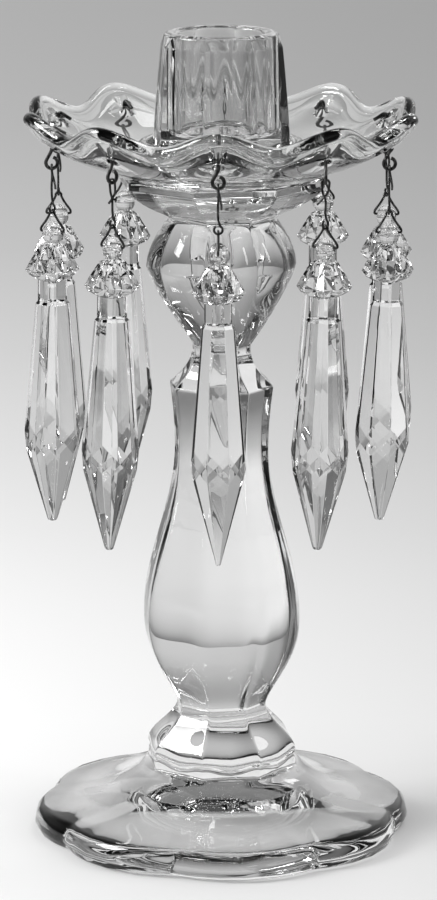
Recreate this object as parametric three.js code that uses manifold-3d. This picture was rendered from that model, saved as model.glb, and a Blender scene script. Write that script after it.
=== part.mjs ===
// Prism candlestick: a pressed-glass candlestick that carries a crimped glass bobeche,
// and ten cut-glass prisms that hang from the bobeche's rim on bent wire.
// Millimetres, +Z up. The origin is the centre of the foot, on the table, and the front is -Y.

import * as THREE from 'three';
import { mergeVertices } from 'three/addons/utils/BufferGeometryUtils.js';
import Module from 'manifold-3d';

const wasm = await Module();
wasm.setup();

// Candlestick: heights of its stacked stretches, from the table up
const FOOT_HEIGHT = 19.2;
const BELL_HEIGHT = 17.4;
const BALUSTER_HEIGHT = 93.4;
const SHOULDER_HEIGHT = 10.5;
const KNOB_HEIGHT = 37;
const FLANGE_HEIGHT = 12.5;
const CUP_HEIGHT = 40;

// Candlestick: radii to the facet edges, and the lobes of the foot
const FACETS = 8;
const STEM_TURN = 8;
const FOOT_RADIUS = 54.25;
const FOOT_LOBE_RADIUS = 31.25;
const FOOT_EDGE_HEIGHT = 7.6;
const FOOT_EDGE_ROUND = 3.4;
const FOOT_TOE = 1;
const FOOT_TOE_HEIGHT = 2;
const FOOT_LAND_WIDTH = 5;
const FOOT_HOLLOW_DEPTH = 8;
const HOLLOW_STATIONS = { round: [0.2, 0.4], lobed: [0.6, 0.8, 1] };
const DOME_STATIONS = { lobed: [0.3], round: [0.62, 0.88] };
const COLLAR_RADIUS = 22;
const COLLAR_LIP = 2.3;
const COLLAR_STEP = 0.6;
const BULGE_RADIUS = 22;
const BULGE_RISE = 1.7;
const WAIST_RADIUS = 13.2;
const BELLY_RADIUS = 23.1;
const BELLY_RISE = 25.5;
const STEM_RADIUS = 13.8;
const STEM_RISE = 76;
const SHOULDER_RADIUS = 15.2;
const NECK_RADIUS = 8.5;
const NECK_LENGTH = 1;
const KNOB_RADIUS = 21.3;
const KNOB_BELLY_RISE = 23.5;
const KNOB_TOP_RADIUS = 16.2;
const KNOB_CREASE = 0.05;
const THROAT_RADIUS = 15.4;
const FLANGE_FOOT_RADIUS = 17.4;
const FLANGE_RADIUS = 29.8;
const FLANGE_EDGE = 2.6;
const FLANGE_CHAMFER = 0.7;
const FLANGE_SWELL = 1.9;
const THROAT_HEIGHT = 1.9;

// Candle cup
const CUP_BASE_RADIUS = 20.1;
const CUP_SHOULDER_RADIUS = 17.6;
const CUP_MOUTH_RADIUS = 16;
const CUP_LIP = 1.9;
const SOCKET_MOUTH_RADIUS = 12;
const SOCKET_FLOOR_RADIUS = 11.6;
const SOCKET_DEPTH = 29;

// Bobeche: the crimped glass dish
const SEAT_GAP = 0.3;
const CUP_CLEARANCE = 0.8;
const SEAT_WIDTH = 9;
const HUB_WIDTH = 2.4;
const HUB_HEIGHT = 9.3;
const FLOOR_THICKNESS = 5.4;
const RIM_OVERHANG = 0.5;
const RIM_HEIGHT = 16.85;
const RIM_BEAD_RADIUS = 2.2;
const CRIMP_HEIGHT = 2.35;
const CRIMP_DEPTH = 1.25;
const CRIMP_WIDTH = 20.75;
const CRIMP_BELOW = 0.4;
const WALL_THICKNESS = 4.3;
const WALL_MEETS_BEAD = 0.25;
const WALL_JOINS_BEAD = 1.9;
const WALL_MIDDLE = 0.45;
const WALL_LEAN = 2;
const BEAD_ARC = [-50, 0, 50, 100, 150, 190];
const BOBECHE_TURN = -1;

// Rim holes and pendants
const PENDANTS = 10;
const HOLE_INSET = 5.75;
const HOLE_TOP_RADIUS = 2.3;
const HOLE_FOOT_RADIUS = 1.5;
const WIRE_GAP = 0.3;
const HOOK_WIRE = 1;
const HOOK_LEG = 4;
const HOOK_DROP = 6.4;
const HOOK_LOOP_RADIUS = 1.6;
const PIN_WIRE = 0.5;
const PIN_LENGTH = 11.2;
const PIN_TAIL = 2.3;
const EYE_RADIUS = 1.15;
const BAIL_WIRE = 0.55;
const BAIL_HEIGHT = 5.25;
const BAIL_HALF_WIDTH = 3.5;
const BAIL_PIN = 1.7;

// How far round each bend of the wire goes, in degrees from its heading
const HOOK_LOOP_ARC = [160, 435];
const PIN_TOP_ARC = [190, -10];
const PIN_EYE_ARC = [62, -235];
const BAIL_TOP_ARC = [195, -15];

// Prism: heights down from the top of its lug, and radii to the facet edges
const LUG_HOLE_DROP = 2.9;
const LUG_HOLE_RADIUS = 0.85;
const LUG_HEIGHT = 6.6;
const LUG_HALF_WIDTH = 3.3;
const LUG_HALF_THICKNESS = 2.6;
const LUG_CROWN = [{ share: 0.74, drop: 1.1 }, { share: 0.42, drop: 0.25 }];
const FLUTE_HEIGHT = 6.9;
const FLUTE_RADIUS = 7.6;
const FLUTE_UNDERCUT = 3.2;
const FLUTE_FULLNESS = 0.45;
const PRISM_NECK_RADIUS = 4.1;
const PRISM_NECK_LENGTH = 5.6;
const PRISM_COLLAR_RADIUS = 4.8;
const PRISM_COLLAR_STEP = 0.8;
const SPEAR_UPPER_LENGTH = 39.1;
const SPEAR_LOWER_LENGTH = 24.8;
const SPEAR_RADIUS = 7.9;
const GIRDLE_HALF_HEIGHT = 3;
const TIP_RADIUS = 1.5;
const TIP_ROUND = 0.9;

// How each pendant hangs, as seen in the photograph: the headings in degrees from +X of the hook's
// loop, the pin's eye and the prism's bail, pendant 1 at the front and the rest anticlockwise from above
const HOOK_HEADINGS = [0, 90, 0, 20, 0, -15, 5, 10, 0, 45];
const EYE_HEADINGS = [0, 50, 80, 65, 110, 75, 95, 100, 55, 55];
const BAIL_HEADINGS = [90, -15, 0, -10, 25, -20, 15, 0, -20, -25];

// Numbers of faces
const FOOT_SIDES = 6 * FACETS;
const DOME_SIDES = 3 * FACETS;
const ROUND_SIDES = 4 * FACETS;
const BOBECHE_SIDES = 8 * PENDANTS;
const HOLE_SIDES = 10;
const HOOK_SIDES = 5;
const THIN_WIRE_SIDES = 4;

// Heights worked out from the stack
const waistZ = FOOT_HEIGHT + BELL_HEIGHT;
const shoulderZ = waistZ + BALUSTER_HEIGHT;
const neckZ = shoulderZ + SHOULDER_HEIGHT;
const throatZ = neckZ + KNOB_HEIGHT;
const flangeZ = throatZ + FLANGE_HEIGHT;
const mouthZ = flangeZ + CUP_HEIGHT;

// Radii on the bobeche: its rim stands over the edge of the foot
const rimRadius = FOOT_RADIUS + RIM_OVERHANG;
const holeCircleRadius = rimRadius - HOLE_INSET;
const crimpStartRadius = rimRadius - CRIMP_WIDTH;

const glass = () => new THREE.MeshStandardMaterial({
  color: 0xe6ecec, roughness: 0.04, metalness: 0, transparent: true, opacity: 0.5,
});
const darkWire = () => new THREE.MeshStandardMaterial({ color: 0x2c2a28, roughness: 0.42, metalness: 0.9 });

const radians = THREE.MathUtils.degToRad;
const heading = (degrees) => new THREE.Vector3(Math.cos(radians(degrees)), Math.sin(radians(degrees)), 0);
const mix = THREE.MathUtils.lerp;

// Ways for a radius to pass from one value to the next, each from 0 to 1
const swell = (t) => (1 - Math.cos(Math.PI * t)) / 2;
const roundOver = (t) => 1 - Math.cos(Math.PI * t / 2);
const hollow = (t) => 1 - (1 - t) ** 2;
const fullness = (t) => (t + Math.sin(Math.PI * t / 2)) / 2;
const fullSwell = (t) => swell(t ** 0.7);
const domeRise = (t) => 0.4 * t + 0.6 * t ** 4;
const cupTaper = (t) => t ** 1.5;

// Cross-sections, as a share of the radius to the facet edges, at an angle from an edge
const facetAngle = 2 * Math.PI / FACETS;
const fromMiddle = (angle) => {
  const turns = angle / facetAngle;
  return (turns - Math.floor(turns) - 0.5) * facetAngle;
};
const flat = (angle) => Math.cos(facetAngle / 2) / Math.cos(fromMiddle(angle));
const round = () => 1;
const panelled = (angle) => 1 - KNOB_CREASE * (1 - Math.cos(Math.PI * fromMiddle(angle) / facetAngle));
const footLobeOffset = FOOT_RADIUS - FOOT_LOBE_RADIUS;
const lobed = (angle) => {
  const a = fromMiddle(angle);
  const across = footLobeOffset * Math.sin(a);
  return (footLobeOffset * Math.cos(a) + Math.sqrt(FOOT_LOBE_RADIUS ** 2 - across ** 2)) / FOOT_RADIUS;
};

// A ring of points at one height, whose first point is on a facet edge
function ring(radius, z, sides = FACETS, section = flat) {
  const points = [];
  for (let i = 0; i < sides; i += 1) {
    const angle = 2 * Math.PI * i / sides;
    const r = radius * section(angle);
    points.push(new THREE.Vector3(r * Math.cos(angle), r * Math.sin(angle), z));
  }
  return points;
}

// Rings from one radius and height to another, the last included and the first not
function rings(from, to, count, ease, sides, section) {
  const list = [];
  for (let i = 1; i <= count; i += 1) {
    const t = i / count;
    list.push(ring(mix(from.r, to.r, ease(t)), mix(from.z, to.z, t), sides, section));
  }
  return list;
}

// Triangles between two rings of points, one of which may have a multiple of the other's points
function stitch(faces, lower, upper) {
  const coarse = lower.length <= upper.length ? lower : upper;
  const fine = coarse === lower ? upper : lower;
  const ratio = fine.length / coarse.length;
  const add = (a, b, c) => faces.push(coarse === lower ? [a, b, c] : [a, c, b]);
  for (let i = 0; i < coarse.length; i += 1) {
    const here = coarse[i];
    const next = coarse[(i + 1) % coarse.length];
    const half = Math.floor(ratio / 2);
    const at = (k) => fine[(i * ratio + k) % fine.length];
    for (let k = 0; k < half; k += 1) add(here, at(k + 1), at(k));
    if (next !== here) add(here, next, at(half));
    for (let k = half; k < ratio; k += 1) add(next, at(k + 1), at(k));
  }
}

function surface(faces) {
  const positions = [];
  for (const corners of faces) {
    const [a, b, c] = corners;
    if (a.distanceTo(b) < 1e-6 || b.distanceTo(c) < 1e-6 || c.distanceTo(a) < 1e-6) continue;
    positions.push(...a.toArray(), ...b.toArray(), ...c.toArray());
  }
  const geometry = new THREE.BufferGeometry();
  geometry.setAttribute('position', new THREE.Float32BufferAttribute(positions, 3));
  return merged(geometry);
}

function merged(geometry) {
  geometry.deleteAttribute('normal');
  geometry.deleteAttribute('uv');
  const joined = mergeVertices(geometry, 1e-4);
  joined.computeVertexNormals();
  return joined;
}

// A closed body through a stack of rings, from the lowest point of its skin's path to the last
function loft(stack) {
  const faces = [];
  for (let i = 0; i + 1 < stack.length; i += 1) stitch(faces, stack[i], stack[i + 1]);
  return surface(faces);
}

const tipPoint = (z) => [new THREE.Vector3(0, 0, z)];

function toSolid(geometry) {
  const bare = geometry.clone();
  bare.deleteAttribute('normal');
  const joined = mergeVertices(bare, 1e-4);
  return new wasm.Manifold(new wasm.Mesh({
    numProp: 3,
    vertProperties: new Float32Array(joined.attributes.position.array),
    triVerts: new Uint32Array(joined.index.array),
  }));
}

function toGeometry(solid) {
  const mesh = solid.getMesh();
  const geometry = new THREE.BufferGeometry();
  geometry.setAttribute('position', new THREE.BufferAttribute(new Float32Array(mesh.vertProperties), 3));
  geometry.setIndex(new THREE.BufferAttribute(new Uint32Array(mesh.triVerts), 1));
  geometry.computeVertexNormals();
  return geometry;
}

// Candlestick: foot, bell, baluster, shoulder, knob, flange and cup in one pressing
function candlestickStack() {
  const landOuter = FOOT_RADIUS - FOOT_TOE;
  const landInner = landOuter - FOOT_LAND_WIDTH;
  const edgeTop = { r: FOOT_RADIUS - FOOT_EDGE_ROUND, z: FOOT_EDGE_HEIGHT };
  const collar = { r: COLLAR_RADIUS, z: FOOT_HEIGHT };
  const lipTopZ = collar.z + COLLAR_LIP;
  const bulge = { r: BULGE_RADIUS, z: lipTopZ + BULGE_RISE };
  const waist = { r: WAIST_RADIUS, z: waistZ };
  const belly = { r: BELLY_RADIUS, z: waistZ + BELLY_RISE };
  const stemTop = { r: STEM_RADIUS, z: waistZ + STEM_RISE };
  const shoulder = { r: SHOULDER_RADIUS, z: shoulderZ };
  const neck = { r: NECK_RADIUS, z: neckZ };
  const neckTop = { r: NECK_RADIUS, z: neckZ + NECK_LENGTH };
  const knobBelly = { r: KNOB_RADIUS, z: neckZ + KNOB_BELLY_RISE };
  const knobTop = { r: KNOB_TOP_RADIUS, z: throatZ - THROAT_HEIGHT / 2 };
  const throat = { r: THROAT_RADIUS, z: throatZ };
  const flangeFoot = { r: FLANGE_FOOT_RADIUS, z: throatZ + THROAT_HEIGHT };
  const flangeEdge = { r: FLANGE_RADIUS, z: flangeZ - FLANGE_EDGE };
  const cupShoulderZ = mouthZ - 2 * CUP_LIP;
  const lipMiddle = (CUP_MOUTH_RADIUS + SOCKET_MOUTH_RADIUS) / 2;
  const socketFloorZ = mouthZ - SOCKET_DEPTH;
  const roundedEdge = [];
  for (const degrees of [0, 30, 60]) {
    const out = FOOT_RADIUS - FOOT_EDGE_ROUND * (1 - Math.cos(radians(degrees)));
    const z = mix(FOOT_TOE_HEIGHT, FOOT_EDGE_HEIGHT, Math.sin(radians(degrees)));
    roundedEdge.push(ring(out, z, FOOT_SIDES, lobed));
  }
  const dome = (t, sides, section) => (
    ring(mix(edgeTop.r, collar.r, t), mix(edgeTop.z, collar.z, domeRise(t)), sides, section)
  );
  const cupRadius = (t) => mix(CUP_BASE_RADIUS, CUP_SHOULDER_RADIUS, cupTaper(t));
  const cup = (t) => ring(cupRadius(t), mix(flangeZ, cupShoulderZ, t));
  const footHollow = (t, sides, section) => (
    ring(landInner * t, FOOT_HOLLOW_DEPTH * (1 - swell(t)), sides, section)
  );
  return [
    tipPoint(FOOT_HOLLOW_DEPTH),
    ...HOLLOW_STATIONS.round.map((t) => footHollow(t, DOME_SIDES, round)),
    ...HOLLOW_STATIONS.lobed.map((t) => footHollow(t, FOOT_SIDES, lobed)),
    ring(landOuter, 0, FOOT_SIDES, lobed),
    ...roundedEdge,
    ring(edgeTop.r, edgeTop.z, FOOT_SIDES, lobed),
    ...DOME_STATIONS.lobed.map((t) => dome(t, FOOT_SIDES, lobed)),
    ...DOME_STATIONS.round.map((t) => dome(t, DOME_SIDES, round)),
    ring(collar.r, collar.z),
    ring(collar.r - COLLAR_STEP / 3, lipTopZ - COLLAR_STEP),
    ring(collar.r - COLLAR_STEP, lipTopZ),
    ring(bulge.r, bulge.z),
    ...rings(bulge, waist, 5, swell),
    ...rings(waist, belly, 5, fullSwell),
    ...rings(belly, stemTop, 6, swell),
    ...rings(stemTop, shoulder, 2, roundOver),
    ...rings(shoulder, neck, 3, hollow),
    ring(neckTop.r, neckTop.z, FACETS, flat),
    ...rings(neckTop, knobBelly, 5, fullness, ROUND_SIDES, panelled),
    ...rings(knobBelly, knobTop, 3, roundOver, ROUND_SIDES, panelled),
    ring(throat.r, throat.z),
    ring(flangeFoot.r, flangeFoot.z),
    ring(mix(flangeFoot.r, flangeEdge.r, 0.5) + FLANGE_SWELL, mix(flangeFoot.z, flangeEdge.z, 0.5)),
    ring(flangeEdge.r, flangeEdge.z),
    ring(flangeEdge.r, flangeZ - FLANGE_CHAMFER),
    ring(flangeEdge.r - FLANGE_CHAMFER, flangeZ),
    cup(0),
    cup(0.5),
    cup(1),
    ring(CUP_MOUTH_RADIUS, mouthZ - CUP_LIP / 3, ROUND_SIDES, round),
    ring(lipMiddle, mouthZ, ROUND_SIDES, round),
    ring(SOCKET_MOUTH_RADIUS, mouthZ - CUP_LIP / 3, ROUND_SIDES, round),
    ring(SOCKET_FLOOR_RADIUS, socketFloorZ, ROUND_SIDES, round),
    tipPoint(socketFloorZ),
  ];
}

function candlestick() {
  const geometry = loft(candlestickStack());
  const mesh = new THREE.Mesh(geometry, glass());
  mesh.name = 'candlestick';
  mesh.rotation.z = facetAngle / 2 - Math.PI / 2 + radians(STEM_TURN);
  return mesh;
}

// Bobeche: heights of its skin at a radius and at an angle from a crest of its crimps
const seatZ = flangeZ + SEAT_GAP;
const boreRadius = CUP_BASE_RADIUS + CUP_CLEARANCE;
const seatEdgeRadius = boreRadius + SEAT_WIDTH;
const beadRadiusAt = (crimp) => rimRadius - RIM_BEAD_RADIUS + CRIMP_DEPTH * crimp;
const beadZAt = (crimp) => seatZ + RIM_HEIGHT - RIM_BEAD_RADIUS + CRIMP_HEIGHT * crimp;
const crimpShare = (r) => swell(THREE.MathUtils.clamp((r - crimpStartRadius) / CRIMP_WIDTH, 0, 1));
const hubOuterRadius = boreRadius + HUB_WIDTH;
const floorRadius = hubOuterRadius + HUB_WIDTH;

function innerWallZ(r, crimp) {
  const rise = (r - floorRadius) / (rimRadius - 2 * RIM_BEAD_RADIUS - floorRadius);
  const wallTop = RIM_HEIGHT - 2 * RIM_BEAD_RADIUS + WALL_MEETS_BEAD;
  return seatZ + mix(FLOOR_THICKNESS, wallTop, rise ** 1.35) + CRIMP_HEIGHT * crimp * crimpShare(r);
}

// The underside keeps only part of the crimps, so that the wall is thickest below their crests
const outerWallZ = (r, crimp) => innerWallZ(r, mix(1, crimp, CRIMP_BELOW)) - WALL_THICKNESS;

function bobecheSection(angle) {
  const crimp = Math.cos(PENDANTS * angle);
  const beadR = beadRadiusAt(crimp);
  const beadZ = beadZAt(crimp);
  const wallMiddle = mix(floorRadius, holeCircleRadius, WALL_MIDDLE);
  const wallEnd = beadR - WALL_JOINS_BEAD * RIM_BEAD_RADIUS;
  const outline = [
    [boreRadius, seatZ],
    [seatEdgeRadius, seatZ],
    [wallMiddle + WALL_LEAN, outerWallZ(wallMiddle, crimp)],
    [wallEnd + WALL_LEAN / 2, outerWallZ(wallEnd, crimp)],
  ];
  for (const degrees of BEAD_ARC) {
    outline.push([
      beadR + RIM_BEAD_RADIUS * Math.cos(radians(degrees)),
      beadZ + RIM_BEAD_RADIUS * Math.sin(radians(degrees)),
    ]);
  }
  outline.push(
    [wallEnd, innerWallZ(wallEnd, crimp)],
    [wallMiddle, innerWallZ(wallMiddle, crimp)],
    [floorRadius, innerWallZ(floorRadius, crimp)],
    [hubOuterRadius, seatZ + HUB_HEIGHT - HUB_WIDTH / 3],
    [hubOuterRadius - HUB_WIDTH / 3, seatZ + HUB_HEIGHT],
    [boreRadius + HUB_WIDTH / 4, seatZ + HUB_HEIGHT],
    [boreRadius, seatZ + HUB_HEIGHT - HUB_WIDTH / 4],
  );
  return outline.map(([r, z]) => new THREE.Vector3(r * Math.sin(angle), -r * Math.cos(angle), z));
}

const pendantAngle = (index) => 2 * Math.PI * index / PENDANTS;
const pendantSpot = (index) => new THREE.Vector3(
  holeCircleRadius * Math.sin(pendantAngle(index)),
  -holeCircleRadius * Math.cos(pendantAngle(index)),
  0,
);
const holeTopZ = innerWallZ(holeCircleRadius, 1);
const holeFootZ = holeTopZ - WALL_THICKNESS;

function rimHoleCutter(index) {
  const margin = 0.5 * WALL_THICKNESS;
  const flare = (HOLE_TOP_RADIUS - HOLE_FOOT_RADIUS) / WALL_THICKNESS * margin;
  const geometry = new THREE.CylinderGeometry(
    HOLE_TOP_RADIUS + flare, HOLE_FOOT_RADIUS - flare, WALL_THICKNESS + 2 * margin, HOLE_SIDES,
  );
  geometry.rotateX(Math.PI / 2);
  const spot = pendantSpot(index);
  geometry.translate(spot.x, spot.y, (holeTopZ + holeFootZ) / 2);
  return toSolid(merged(geometry));
}

function bobeche() {
  const sections = [];
  for (let i = 0; i < BOBECHE_SIDES; i += 1) sections.push(bobecheSection(2 * Math.PI * i / BOBECHE_SIDES));
  const faces = [];
  sections.forEach((section, i) => stitch(faces, sections[(i + 1) % BOBECHE_SIDES], section));
  let solid = toSolid(surface(faces));
  for (let i = 0; i < PENDANTS; i += 1) solid = solid.subtract(rimHoleCutter(i));
  const mesh = new THREE.Mesh(toGeometry(solid), glass());
  mesh.name = 'bobeche';
  return mesh;
}

// Bent wire: a tube of a few flat sides along a smooth curve through its points
function wire(points, diameter, sides, steps) {
  const outline = [];
  for (let i = 0; i < sides; i += 1) {
    const angle = 2 * Math.PI * i / sides;
    outline.push(new THREE.Vector2(Math.cos(angle), Math.sin(angle)).multiplyScalar(diameter / 2));
  }
  const path = new THREE.CatmullRomCurve3(points, false, 'centripetal');
  return merged(new THREE.ExtrudeGeometry(new THREE.Shape(outline), {
    steps, bevelEnabled: false, extrudePath: path,
  }));
}

// A point at a distance along one heading, a distance along the heading square to it, and a height
function place(along, direction, across, z) {
  const square = new THREE.Vector3(-direction.y, direction.x, 0);
  return direction.clone().multiplyScalar(along).addScaledVector(square, across).setZ(z);
}

function arc(direction, radius, centreZ, [fromDegrees, toDegrees], count) {
  const points = [];
  for (let i = 0; i <= count; i += 1) {
    const angle = radians(mix(fromDegrees, toDegrees, i / count));
    points.push(place(radius * Math.cos(angle), direction, 0, centreZ + radius * Math.sin(angle)));
  }
  return points;
}

// Heights on a pendant, from the rim down, and the spacing of wire that hangs on wire
const hookLoopZ = holeFootZ - HOOK_DROP;
const eyeZ = hookLoopZ - PIN_LENGTH;
const eyeFootZ = eyeZ - EYE_RADIUS;
const lugHoleZ = eyeFootZ - BAIL_HEIGHT;
const prismTopZ = lugHoleZ + LUG_HOLE_DROP;
const pinOnHook = HOOK_WIRE / 2 + WIRE_GAP + PIN_WIRE / 2;
const bailOnEye = PIN_WIRE / 2 + WIRE_GAP + BAIL_WIRE / 2;

function hookPoints(index) {
  const inward = heading(90 + THREE.MathUtils.radToDeg(pendantAngle(index)));
  const loop = heading(HOOK_HEADINGS[index]);
  const lift = HOOK_WIRE / 2 + WIRE_GAP + 0.15;
  const holeEdge = HOLE_TOP_RADIUS + HOOK_WIRE / 4;
  const overWall = (reach) => innerWallZ(holeCircleRadius - reach, 1) + lift;
  const slope = (overWall(holeEdge) - overWall(HOOK_LEG)) / (HOOK_LEG - holeEdge);
  const bendZ = overWall(holeEdge) + slope * (holeEdge - HOOK_WIRE);
  return [
    place(HOOK_LEG, inward, 0, overWall(HOOK_LEG)),
    place(holeEdge, inward, 0, overWall(holeEdge)),
    place(HOOK_WIRE, inward, 0, bendZ),
    place(HOOK_WIRE * 0.3, inward, 0, bendZ - HOOK_WIRE * 0.25),
    place(0, inward, 0, bendZ - HOOK_WIRE),
    place(0, inward, 0, holeFootZ),
    place(0, inward, 0, hookLoopZ + 3.2 * HOOK_LOOP_RADIUS),
    ...arc(loop, HOOK_LOOP_RADIUS, hookLoopZ + HOOK_LOOP_RADIUS, HOOK_LOOP_ARC, 7),
  ];
}

function pinPoints(index) {
  const loop = heading(HOOK_HEADINGS[index] + 90);
  const eye = heading(EYE_HEADINGS[index]);
  const side = PIN_WIRE + WIRE_GAP;
  const crossing = hookLoopZ - 0.4 * PIN_LENGTH;
  return [
    place(PIN_TAIL, loop, -side, crossing - 1.5),
    place(0.5 * PIN_TAIL, loop, -side, crossing - 0.3),
    place(-0.5 * pinOnHook, loop, -0.6 * side, crossing + 1.8),
    ...arc(loop, pinOnHook, hookLoopZ, PIN_TOP_ARC, 4),
    place(0.7 * pinOnHook, loop, 0, crossing + 1.8),
    place(0, loop, 0.1 * side, crossing),
    place(0, loop, 0, eyeZ + 2.6 * EYE_RADIUS),
    ...arc(eye, EYE_RADIUS, eyeZ, PIN_EYE_ARC, 8),
  ];
}

function bailPoints(index) {
  const over = heading(EYE_HEADINGS[index] + 90);
  const pins = heading(BAIL_HEADINGS[index]);
  const flip = Math.sign(over.dot(pins));
  const leg = (side) => [
    place(side * BAIL_HALF_WIDTH * 0.5, pins, 0, mix(eyeFootZ, lugHoleZ, 0.4)),
    place(side * BAIL_HALF_WIDTH * 0.97, pins, 0, mix(eyeFootZ, lugHoleZ, 0.86)),
    place(side * (BAIL_HALF_WIDTH - BAIL_WIRE * 0.3), pins, 0, lugHoleZ + BAIL_WIRE * 0.2),
    place(side * (BAIL_HALF_WIDTH - BAIL_WIRE), pins, 0, lugHoleZ),
    place(side * (BAIL_HALF_WIDTH - BAIL_PIN), pins, 0, lugHoleZ),
  ];
  return [
    ...leg(-flip).reverse(),
    ...arc(over, bailOnEye, eyeFootZ, BAIL_TOP_ARC, 4),
    ...leg(flip),
  ];
}

// Prism: corner rings in its own frame, +X along the hole in the lug, 0 at the top of the lug
function prismStack() {
  const fluteTopZ = -LUG_HEIGHT;
  const fluteZ = fluteTopZ - FLUTE_HEIGHT;
  const neckTopZ = fluteZ - FLUTE_UNDERCUT;
  const neckFootZ = neckTopZ - PRISM_NECK_LENGTH;
  const collarZ = neckFootZ - PRISM_COLLAR_STEP;
  const girdleZ = collarZ - SPEAR_UPPER_LENGTH;
  const tipZ = girdleZ - SPEAR_LOWER_LENGTH;
  const middle = Math.cos(facetAngle / 2);
  const upperSlope = (SPEAR_RADIUS - PRISM_COLLAR_RADIUS) / (SPEAR_UPPER_LENGTH - GIRDLE_HALF_HEIGHT);
  const girdleMiddle = middle * (SPEAR_RADIUS + upperSlope * GIRDLE_HALF_HEIGHT);
  const tipTopZ = tipZ + TIP_ROUND;
  const lowerShare = GIRDLE_HALF_HEIGHT / (girdleZ - tipTopZ);
  const lowerRadius = mix(girdleMiddle / middle, TIP_RADIUS, lowerShare);
  const zigzag = (radius, z) => ring(radius, z, 2 * FACETS).map((corner, i) => {
    if (i % 2 === 0) return corner;
    const angle = facetAngle * i / 2;
    return new THREE.Vector3(girdleMiddle * Math.cos(angle), girdleMiddle * Math.sin(angle), girdleZ);
  });
  const lug = (share, z) => ring(1, z).map((corner) => new THREE.Vector3(
    corner.x * LUG_HALF_THICKNESS * share / middle,
    corner.y * LUG_HALF_WIDTH * share / middle,
    z,
  ));
  return [
    tipPoint(tipZ),
    ring(TIP_RADIUS * 0.75, tipZ + TIP_ROUND / 5),
    ring(TIP_RADIUS, tipTopZ),
    zigzag(lowerRadius, girdleZ - GIRDLE_HALF_HEIGHT),
    zigzag(SPEAR_RADIUS, girdleZ + GIRDLE_HALF_HEIGHT),
    ring(PRISM_COLLAR_RADIUS, collarZ),
    ring(PRISM_NECK_RADIUS, neckFootZ),
    ring(PRISM_NECK_RADIUS, neckTopZ),
    ring(FLUTE_RADIUS * 0.96, fluteZ - 0.25 * FLUTE_UNDERCUT),
    ring(FLUTE_RADIUS, fluteZ),
    ring(mix(FLUTE_RADIUS, LUG_HALF_WIDTH, FLUTE_FULLNESS), mix(fluteZ, fluteTopZ, 0.5)),
    lug(1, fluteTopZ),
    lug(1, -LUG_HOLE_DROP - LUG_HOLE_RADIUS),
    ...LUG_CROWN.map(({ share, drop }) => lug(share, -drop)),
    tipPoint(0),
  ];
}

function prismGeometry() {
  const middleTurn = facetAngle / 2;
  const body = loft(prismStack());
  body.rotateZ(middleTurn);
  const boreLength = 4 * LUG_HALF_THICKNESS;
  const bore = new THREE.CylinderGeometry(LUG_HOLE_RADIUS, LUG_HOLE_RADIUS, boreLength, HOLE_SIDES);
  bore.rotateZ(Math.PI / 2);
  bore.translate(0, 0, -LUG_HOLE_DROP);
  return toGeometry(toSolid(body).subtract(toSolid(merged(bore))));
}

// One pendant: hook, link pin, bail and prism, in a group at its rim hole
function pendant(index) {
  const group = new THREE.Group();
  group.position.copy(pendantSpot(index));
  const suffix = String(index + 1).padStart(2, '0');
  const add = (name, geometry, material) => {
    const mesh = new THREE.Mesh(geometry, material);
    mesh.name = `${name}_${suffix}`;
    group.add(mesh);
    return mesh;
  };
  add('rim_hook', wire(hookPoints(index), HOOK_WIRE, HOOK_SIDES, 24), darkWire());
  add('link_pin', wire(pinPoints(index), PIN_WIRE, THIN_WIRE_SIDES, 32), darkWire());
  add('prism_bail', wire(bailPoints(index), BAIL_WIRE, THIN_WIRE_SIDES, 22), darkWire());
  const prism = add('prism', prismGeometry(), glass());
  prism.position.z = prismTopZ;
  prism.rotation.z = radians(BAIL_HEADINGS[index]);
  return group;
}

const lamp = new THREE.Group();
const dressedBobeche = new THREE.Group();
dressedBobeche.rotation.z = radians(BOBECHE_TURN);
dressedBobeche.add(bobeche());
for (let i = 0; i < PENDANTS; i += 1) dressedBobeche.add(pendant(i));
lamp.add(candlestick());
lamp.add(dressedBobeche);

export default lamp;
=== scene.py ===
"""Looks of a prism candlestick: clear pressed glass, a crimped bobeche and ten cut prisms on dark wire."""

import math

import bmesh
import bpy
from mathutils import Matrix, Vector


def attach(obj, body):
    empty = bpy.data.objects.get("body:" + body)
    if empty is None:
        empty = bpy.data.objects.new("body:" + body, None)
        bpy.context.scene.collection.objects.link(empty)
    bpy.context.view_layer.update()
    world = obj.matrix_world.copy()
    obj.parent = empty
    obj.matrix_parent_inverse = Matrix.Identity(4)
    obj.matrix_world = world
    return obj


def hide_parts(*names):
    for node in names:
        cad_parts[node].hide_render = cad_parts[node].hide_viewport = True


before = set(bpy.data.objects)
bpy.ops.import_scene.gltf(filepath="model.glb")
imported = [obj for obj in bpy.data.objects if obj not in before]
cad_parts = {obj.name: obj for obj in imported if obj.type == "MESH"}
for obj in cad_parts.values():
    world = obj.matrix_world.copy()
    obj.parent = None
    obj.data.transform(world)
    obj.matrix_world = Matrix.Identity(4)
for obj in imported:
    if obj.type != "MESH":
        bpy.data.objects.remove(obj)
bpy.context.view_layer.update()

# Sizes in millimetres, as in the part's own source
MM = 0.001
FACETS = 8
STEM_TURN = 8
FACET_ANGLE = 2 * math.pi / FACETS

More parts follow.
